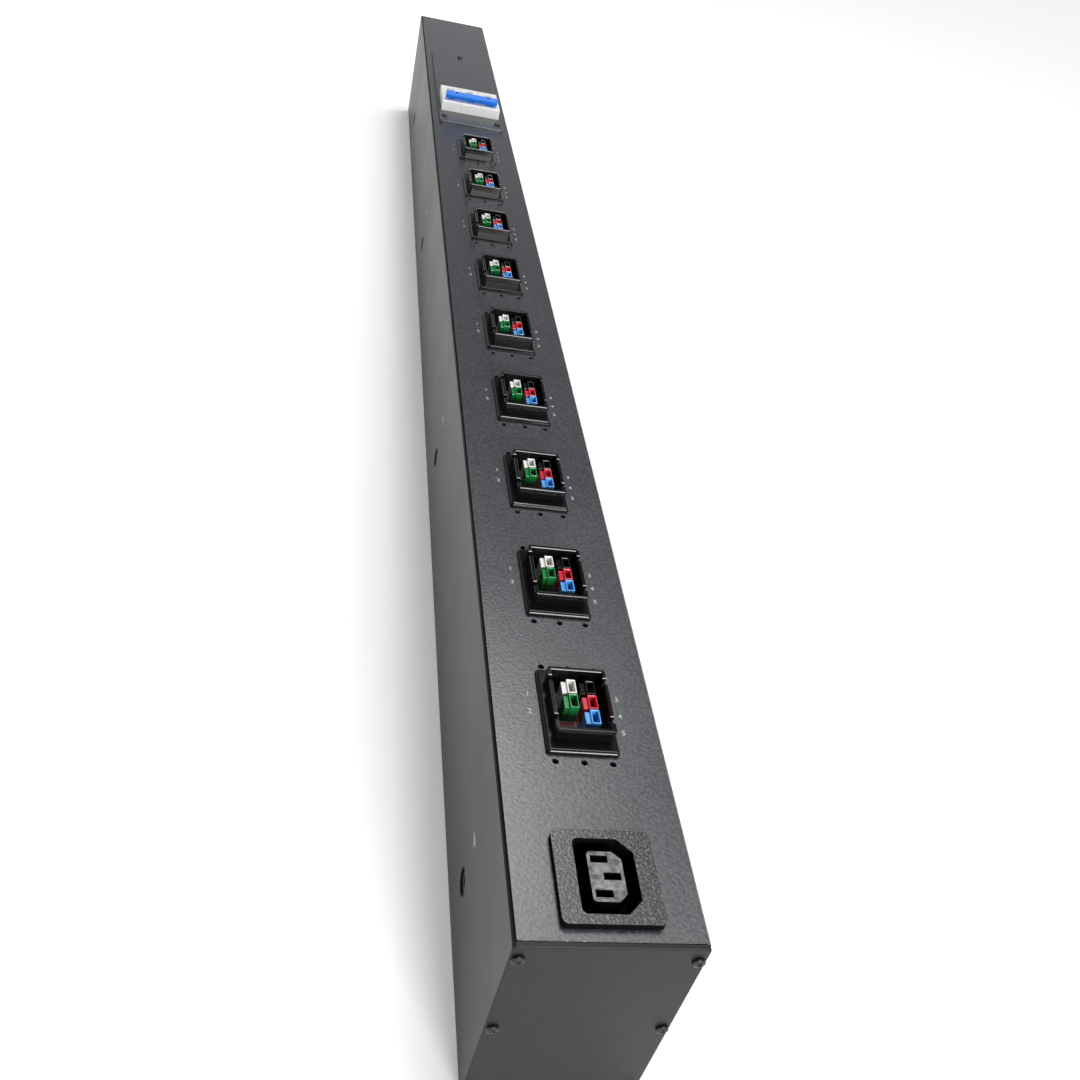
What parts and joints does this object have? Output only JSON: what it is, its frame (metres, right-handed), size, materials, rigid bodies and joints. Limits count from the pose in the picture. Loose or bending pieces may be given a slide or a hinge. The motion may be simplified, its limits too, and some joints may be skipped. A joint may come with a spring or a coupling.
{
  "type": "power distribution unit",
  "caption": "Long slim rack power strip: black metal case with a row of multi-pole plug outlets, an appliance outlet and a toggle breaker on its face.",
  "frame": {"origin": "centre of the back face", "axes": "+Z out of the outlet face, +Y along the case from the appliance outlet end to the breaker end, +X across to the right as seen on the outlet face"},
  "size_m": [0.07, 1.169, 0.124],
  "materials": {
    "case": "satin black powder coat",
    "panel": "fine textured black powder coat",
    "screws": "black oxide",
    "steel": "zinc plated",
    "shell": "gloss",
    "housing_white": "gloss",
    "housing_green": "gloss",
    "housing_black": "gloss",
    "housing_red": "gloss",
    "housing_blue": "gloss",
    "spacer": "matte",
    "contact": "silver plated",
    "copper": "bare copper",
    "insulator": "matte",
    "appliance": "fine texture",
    "breaker": "satin",
    "toggle": "satin",
    "gland": "matte",
    "seal": "matte"
  },
  "bodies": {
    "case": {"appliance_outlet_body": "appliance", "appliance_outlet_contacts": "contact", "bar_supports": "insulator", "base_channel": "case", "blank_spacers": "spacer", "breaker_cover_plate": "panel", "breaker_pole_1": "breaker", "breaker_pole_2": "breaker", "breaker_pole_3": "breaker", "cover_plate_screws": "screws", "cross_brackets": "steel", "din_rail": "steel", "earth_bar": "copper", "earth_contacts": "contact", "earth_housings": "housing_green", "earth_nut": "steel", "earth_strap": "copper", "earth_stud": "steel", "far_cover_screws": "screws", "far_end_cover": "case", "front_panel": "panel", "gland_body": "gland", "gland_dome_nut": "gland", "gland_locknut": "gland", "gland_seal": "seal", "line_1_bar": "copper", "line_1_contacts": "contact", "line_1_housings": "housing_black", "line_2_bar": "copper", "line_2_contacts": "contact", "line_2_housings": "housing_red", "line_3_bar": "copper", "line_3_contacts": "contact", "line_3_housings": "housing_blue", "line_links": "copper", "near_cover_screws": "screws", "near_end_cover": "case", "neutral_bar": "copper", "neutral_contacts": "contact", "neutral_housings": "housing_white", "outlet_retainers": "insulator", "outlet_shell_1": "shell", "outlet_shell_2": "shell", "outlet_shell_3": "shell", "outlet_shell_4": "shell", "outlet_shell_5": "shell", "outlet_shell_6": "shell", "outlet_shell_7": "shell", "outlet_shell_8": "shell", "outlet_shell_9": "shell", "rail_bridge": "steel", "side_screws": "screws", "terminal_block": "insulator", "toggle_axle": "steel"},
    "toggle": {"breaker_toggle": "toggle"}
  },
  "joints": [
    {"name": "breaker_toggle_hinge", "type": "hinge", "parent": "case", "child": "toggle", "pos_m": [0.0008, 0.2755, 0.1005], "axis": [-1, 0, 0], "range_deg": [0, 77]}
  ]
}
